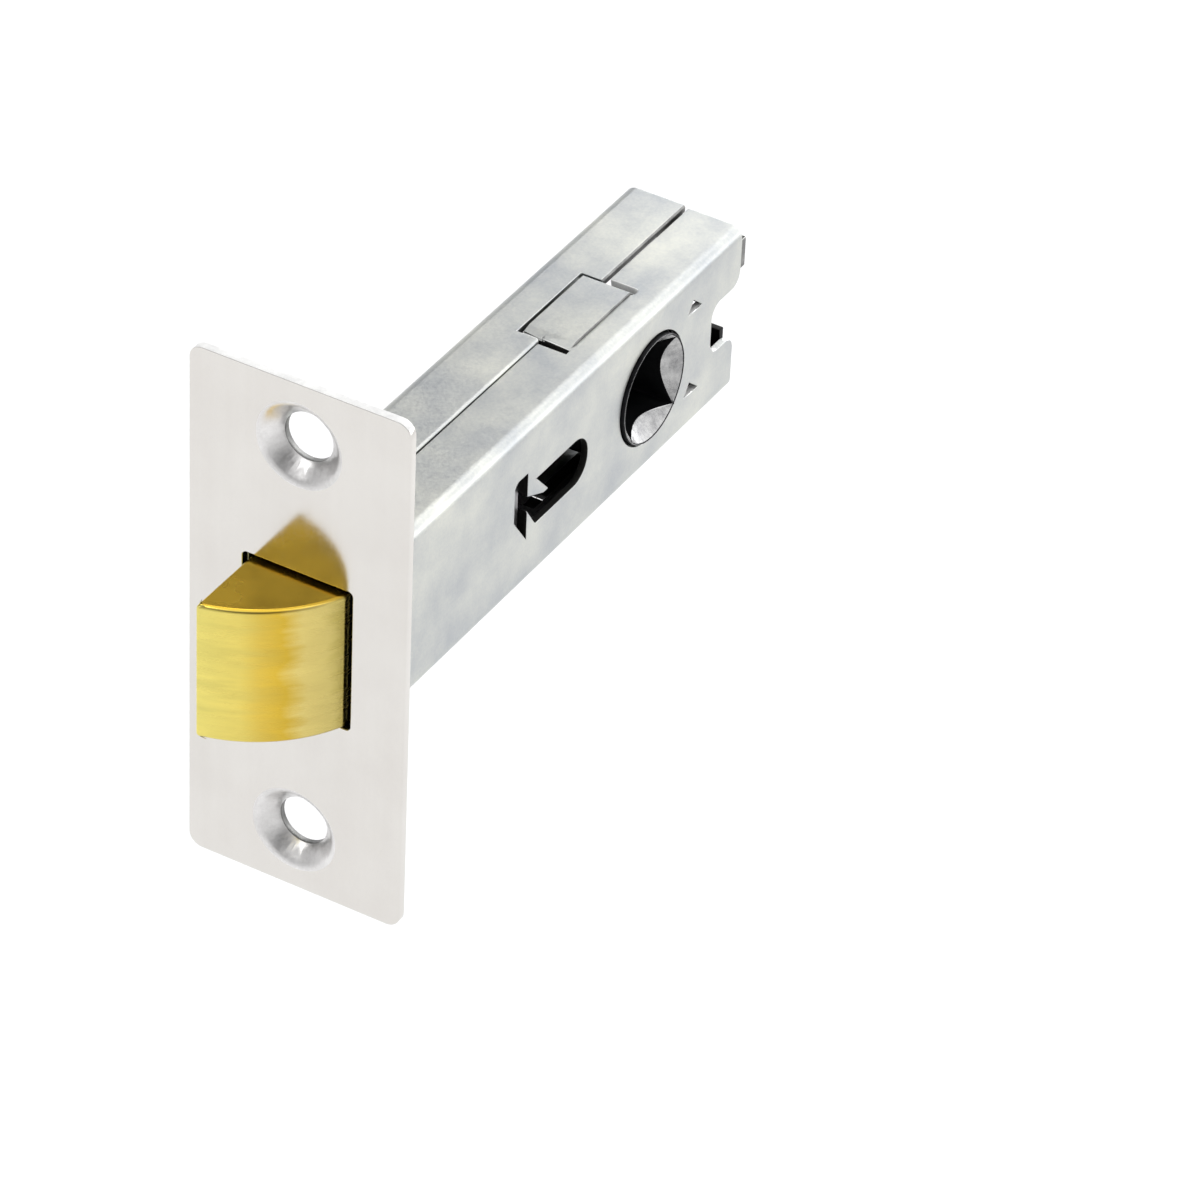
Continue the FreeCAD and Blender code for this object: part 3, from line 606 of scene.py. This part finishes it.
print(f"seam edges rolled by {SHEET_ROLL / MM:.1f} mm")

# %% Case halves
for node in ("case_body", "case_cover"):
    half = copy_solid(node)
    if node == "case_body":
        rolled = [edge for edge in sharp_edges(half, along_seam) if outermost(edge)]
        round_over(half, rolled, SHEET_ROLL, steps=4)
    else:
        close_seam(half)
        round_over(half, sharp_edges(half, at_tab_lip), SHEET_ROLL, steps=3)
    round_over(half, sharp_edges(half), EDGE_ROUND)
    # Each face takes painted shade, a torn edge with painted shade, or a painted highlight from the masks; the
    # rest stay bright zinc.
    for face in half.faces:
        for number, belongs in enumerate((in_painted_shade, torn_or_painted_shade, in_painted_highlight), 1):
            if belongs(face):
                face.material_index = number
                break
    counts = [sum(face.material_index == number for face in half.faces) for number in range(4)]
    piece = show(half, f"{node}_sheet", "case", "case_steel",
                 bright_zinc, painted_shade_inside, torn_edge_painted_shade, pale_painted_highlight)
    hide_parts(node)
    print("  faces outside, inside, in the seam, in the relief:", counts)

# %% [markdown]
# ## Latch bolt
# The bolt's head is a block with a straight flank and a crowned bevel, and every reflection runs along that
# bevel, so facets would show. The head is therefore drawn again with a fine arc through the same three places
# (nose, crown, heel), cut off just behind the forend and joined to the solid's own tail. Shading the solid's
# facets smooth would be less work, but the outline of the bevel would still show its corners.

# %% Circles of the bolt's head
BULGE, PROJECTION = 1.75 * MM, 9.0 * MM
NOSE_RADIUS = 0.3 * MM
nose, heel = Vector((-BOLT_HALF, -PROJECTION)), Vector((BOLT_HALF, 0))
chord = heel - nose
radius = (chord.length ** 2 / 4 + BULGE ** 2) / (2 * BULGE)
outwards = Vector((chord.y, -chord.x)).normalized()
centre = (nose + heel) / 2 + outwards * (BULGE - radius)
# The nose is rounded by a small circle that touches the flank and the inside of the crown's circle
round_x = -BOLT_HALF + NOSE_RADIUS
drop = ((radius - NOSE_RADIUS) ** 2 - (round_x - centre.x) ** 2) ** 0.5
round_centre = Vector((round_x, centre.y - drop))
print(f"crown radius {radius / MM:.1f} mm, nose radius {NOSE_RADIUS / MM:.1f} mm")

# %% Plan of the bolt's head
JOIN = 1.0 * MM
ARC_STEPS, NOSE_STEPS = 48, 6
start = atan2(round_centre.y - centre.y, round_centre.x - centre.x)
end = atan2(heel.y - centre.y, heel.x - centre.x)
plan = []
for step in range(NOSE_STEPS):
    angle = -pi + (start + pi) * step / NOSE_STEPS
    plan.append(round_centre + Vector((cos(angle), sin(angle))) * NOSE_RADIUS)
for step in range(ARC_STEPS + 1):
    angle = start + (end - start) * step / ARC_STEPS
    plan.append(centre + Vector((cos(angle), sin(angle))) * radius)
plan += [Vector((BOLT_HALF, JOIN)), Vector((-BOLT_HALF, JOIN))]
print("plan of", len(plan), "points")

# %% Tail and head joined
FLANK_ROUND = 0.31 * MM
bolt_low, bolt_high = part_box("latch_bolt")
bolt = copy_solid("latch_bolt")
geometry = bolt.verts[:] + bolt.edges[:] + bolt.faces[:]
bmesh.ops.bisect_plane(bolt, geom=geometry, dist=WELD_DISTANCE, plane_co=(0, JOIN, 0), plane_no=(0, 1, 0),
                       clear_inner=True)
# The solid's flank edges are rounded already: made square here, they meet the head and are rounded with it
for vertex in bolt.verts:
    at = vertex.co
    at_edge = at.z < bolt_low.z + FLANK_ROUND or at.z > bolt_high.z - FLANK_ROUND
    if at_edge and at.x < FLANK_ROUND - BOLT_HALF:
        at.x, at.z = -BOLT_HALF, bolt_low.z if at.z < 0 else bolt_high.z
lower = [bolt.verts.new((point.x, point.y, bolt_low.z)) for point in plan]
upper = [bolt.verts.new((point.x, point.y, bolt_high.z)) for point in plan]
bolt.faces.new(list(reversed(lower)))
bolt.faces.new(upper)
# Walls stand on every stretch of the plan but the last one before the start, where the tail goes on
for before, after in zip([-1, *range(len(plan) - 2)], range(len(plan) - 1)):
    bolt.faces.new((lower[before], lower[after], upper[after], upper[before]))
bmesh.ops.remove_doubles(bolt, verts=bolt.verts[:], dist=WELD_DISTANCE)
bmesh.ops.recalc_face_normals(bolt, faces=bolt.faces[:])
print("open edges after the join:", sum(not edge.is_manifold for edge in bolt.edges))

# %% Latch bolt
RIM_RADIUS = 0.5 * MM


def on_head(middle):
    return middle.y < 0 or abs(middle.x) > BOLT_HALF / MM - SLACK


round_over(bolt, sharp_edges(bolt, on_head), RIM_RADIUS, steps=4)
round_over(bolt, sharp_edges(bolt), EDGE_ROUND)
bolt_piece = show(bolt, "latch_bolt_brass", "bolt", "bolt_brass", brushed_brass)
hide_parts("latch_bolt")

# %% [markdown]
# ## Inner pieces
# Draw bars and spring seat are plain cold-rolled strip, their finish darkened as painted shade because they lie
# inside the case. They show only through the openings, but the bars move, so each keeps its own edges and
# finish instead of being left as a bare solid.

# %% Bars and seat
for node, body in (("draw_bar_upper", "bolt"), ("draw_bar_lower", "bolt"), ("spring_seat", "case")):
    shape = copy_solid(node)
    round_over(shape, sharp_edges(shape), EDGE_ROUND)
    piece = show(shape, f"{node}_finished", body, "bar_steel", cold_rolled_painted_shade)
    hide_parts(node)

# %% [markdown]
# ## Follower
# The follower is a small casting that turns in the case's walls. Its conical mouths are bright, but its square
# hole is broached through and lies in shade, as does its barrel, so those faces, found by their distance from
# the axle, get a near-black painted shade. A second object could hold the shaded faces, but the casting is one
# piece.

# %% Follower
SPINDLE_HALF, BARREL, BARREL_RIM = 4.1, 6.0, 0.2
hub = copy_solid("follower")
round_over(hub, sharp_edges(hub), EDGE_ROUND)
axle = Vector(frame["record"]["behaviour"]["joints"][1]["pos_m"])
dark_faces = 0
for face in hub.faces:
    middle = (face.calc_center_median() - axle) / MM
    in_square = max(abs(middle.y), abs(middle.z)) < SPINDLE_HALF + SLACK
    on_barrel = hypot(middle.y, middle.z) > BARREL - BARREL_RIM
    if (in_square and abs(face.normal.x) < CUT_SLOPE) or on_barrel:
        face.material_index = 1
        dark_faces += 1
hub_piece = show(hub, "follower_finished", "hub", "follower_steel", cast_hub, bore_painted_shade)
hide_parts("follower")
print(f"  {dark_faces} faces in the square hole and on the barrel")

# %% [markdown]
# ## Bolt spring
# The solid of the spring has a six-sided wire to stay light. Here the same coil is swept again with a round
# wire: a ring of points is carried along a helix and each ring is joined to the next. A curve with a round
# bevel could do it too, but a mesh is what the other pieces are, and its corners are known. The spring
# shortens when the bolt slides back.

# %% Spring coil
SPRING_TURNS, WIRE_SIDES, STEPS_PER_TURN = 6, 14, 48
WIRE_RADIUS = 0.5 * MM
coil_low, coil_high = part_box("bolt_spring")
coil_radius = coil_high.x - WIRE_RADIUS
first, last = coil_low.y + WIRE_RADIUS, coil_high.y - WIRE_RADIUS

coil = bmesh.new()
rings = []
for step in range(SPRING_TURNS * STEPS_PER_TURN + 1):
    turn = 2 * pi * step / STEPS_PER_TURN
    rise = first + (last - first) * step / (SPRING_TURNS * STEPS_PER_TURN)
    outwards = Vector((-cos(turn), 0, sin(turn)))
    centre = outwards * coil_radius + Vector((0, rise, 0))
    ring = []
    for side in range(WIRE_SIDES):
        angle = 2 * pi * side / WIRE_SIDES
        offset = outwards * cos(angle) + Vector((0, sin(angle), 0))
        ring.append(coil.verts.new(centre + offset * WIRE_RADIUS))
    rings.append(ring)
for before, after in zip(rings, rings[1:]):
    for side in range(WIRE_SIDES):
        beside = (side + 1) % WIRE_SIDES
        coil.faces.new((before[side], before[beside], after[beside], after[side]))
coil.faces.new(rings[0])
coil.faces.new(list(reversed(rings[-1])))
bmesh.ops.recalc_face_normals(coil, faces=coil.faces[:])
print(f"{SPRING_TURNS} turns of wire, {2 * coil_radius / MM:.1f} mm across")

# %% Bolt spring
# The wire's dark finish is painted shade for the inside of the case.
spring = show(coil, "bolt_spring_coil", "case", "spring_steel", drawn_wire_painted_shade)
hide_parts("bolt_spring")
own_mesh(spring)

# %% [markdown]
# ## Floor
# A plain white sheet lies below the latch. Metal has no colour of its own to show, it shows what is round it,
# so this sheet is also what the forend and the case's side reflect. A backdrop that curves up behind could be
# added, but the camera looks down and never sees the sheet's far edge.

# %% Floor
FLOOR_DROP = 0.12
FLOOR_HALF = 3.0
PAPER_TONES, PAPER_ROUGHNESS = [(0.0, (0.9, 0.9, 0.9)), (1.0, (0.94, 0.94, 0.94))], 0.9
floor_level = cad_low.z - FLOOR_DROP
sheet = bmesh.new()
corners = [(-1, -1), (1, -1), (1, 1), (-1, 1)]
sheet.faces.new([sheet.verts.new((x * FLOOR_HALF, y * FLOOR_HALF, floor_level)) for x, y in corners])
floor_mesh = bpy.data.meshes.new("floor")
sheet.to_mesh(floor_mesh)
sheet.free()
floor = bpy.data.objects.new("floor", floor_mesh)
scene.collection.objects.link(floor)
paper = bpy.data.materials.new("white_paper")
paper.use_nodes = True
paper_shader = paper.node_tree.nodes["Principled BSDF"]
paper_shader.inputs["Roughness"].default_value = PAPER_ROUGHNESS
fibres = add_node(paper.node_tree, "ShaderNodeTexNoise", Scale=40.0, Detail=3.0)
shade = colour_ramp(paper.node_tree, fibres.outputs["Fac"], PAPER_TONES)
plug(paper.node_tree, paper_shader.inputs["Base Color"], shade)
floor_mesh.materials.append(paper)
print(f"floor {FLOOR_DROP / MM:.0f} mm below the forend")

# %% [markdown]
# ## Sky
# Metal mirrors its room, so the room has to be drawn with care. The sky changes with height, which gives flat
# faces a gentle gradient. A soft glow behind on the right whitens the upper bend of the case, and a dim zone in
# front leaves a dark streak in the dishes, as an unlit part of a room does. A lamp in the place of the glow
# would leave a hard-edged stripe.

# %% Sky that changes with height
SKY_STOPS = [(0.0, 0.9), (0.35, 0.6), (0.68, 0.36), (0.84, 0.9), (1.0, 1.35)]
SKY_BLUE = 1.01
world = bpy.data.worlds.new("soft_room")
scene.world = world
world.use_nodes = True
sky = world.node_tree
towards = add_node(sky, "ShaderNodeTexCoord").outputs["Generated"]
height = add_node(sky, "ShaderNodeSeparateXYZ", Vector=towards).outputs["Z"]
fade = colour_ramp(sky, height, [(stop, (level, level, level * SKY_BLUE)) for stop, level in SKY_STOPS])
plug(sky, sky.nodes["Background"].inputs["Color"], fade)
print("sky stops:", SKY_STOPS)

# %% Glow and dim zone
GLOW_FROM, GLOW_RANGE, GLOW_GAIN = Vector((0.6, 0.7, 0.39)).normalized(), (0.38, 0.97), 2.1
DIM_FROM, DIM_RANGE, DIM_LEVEL = Vector((0.389, -0.699, 0.6)), (0.9, 0.985), 0.4


def near_direction(direction, limits, level):
    """A factor of 1 that changes smoothly to a level as a line of sight turns towards a direction."""
    facing = combine(sky, "ShaderNodeVectorMath", "DOT_PRODUCT", towards, direction)
    factor = add_node(sky, "ShaderNodeMapRange", Value=facing["Value"], From_Min=limits[0], From_Max=limits[1],
                      To_Min=1.0, To_Max=level)
    factor.interpolation_type = "SMOOTHSTEP"
    return factor.outputs["Result"]


glow = near_direction(GLOW_FROM, GLOW_RANGE, 1.0 + GLOW_GAIN)
dim = near_direction(DIM_FROM, DIM_RANGE, DIM_LEVEL)
strength = combine(sky, "ShaderNodeMath", "MULTIPLY", glow, dim)
plug(sky, sky.nodes["Background"].inputs["Strength"], strength["Value"])
print(f"glow of {1 + GLOW_GAIN:.1f} times the sky, dim zone of {DIM_LEVEL} times")

# %% [markdown]
# ## Lamps
# A broad lamp high on the left whitens the floor, a low one behind shows in the rear of the case's top, and a
# small one close to the floor lights the patch that the case's side mirrors. Only the lamps that have to light
# the floor do so; the others are seen in reflections alone, so that they can be set without changing the rest.

# %% Lamps
def softbox(name, position, side, brightness, lights_floor=False):
    """A square area lamp that faces the middle of the latch; brightness is what its face looks like."""
    data = bpy.data.lights.new(name, "AREA")
    data.size = side
    data.energy = brightness * pi * side ** 2
    lamp = bpy.data.objects.new(name, data)
    scene.collection.objects.link(lamp)
    lamp.visible_camera = False
    lamp.visible_diffuse = lights_floor
    target = (cad_low + cad_high) / 2
    lamp.location = position
    lamp.rotation_euler = (target - Vector(position)).to_track_quat("-Z", "Y").to_euler()
    return lamp


POOL_RISE = 0.15
softbox("overhead", position=(-0.5, -0.42, 1.12), side=0.6, brightness=2.7, lights_floor=True)
softbox("rear_light", position=(-0.05, 0.45, 0.08), side=0.3, brightness=3.8)
pool = softbox("floor_pool", position=(0.12, 0.3, floor_level + POOL_RISE), side=0.1, brightness=1.2,
               lights_floor=True)
pool.rotation_euler = (0, 0, 0)
pool.visible_glossy = False
scene.view_settings.view_transform = "Standard"
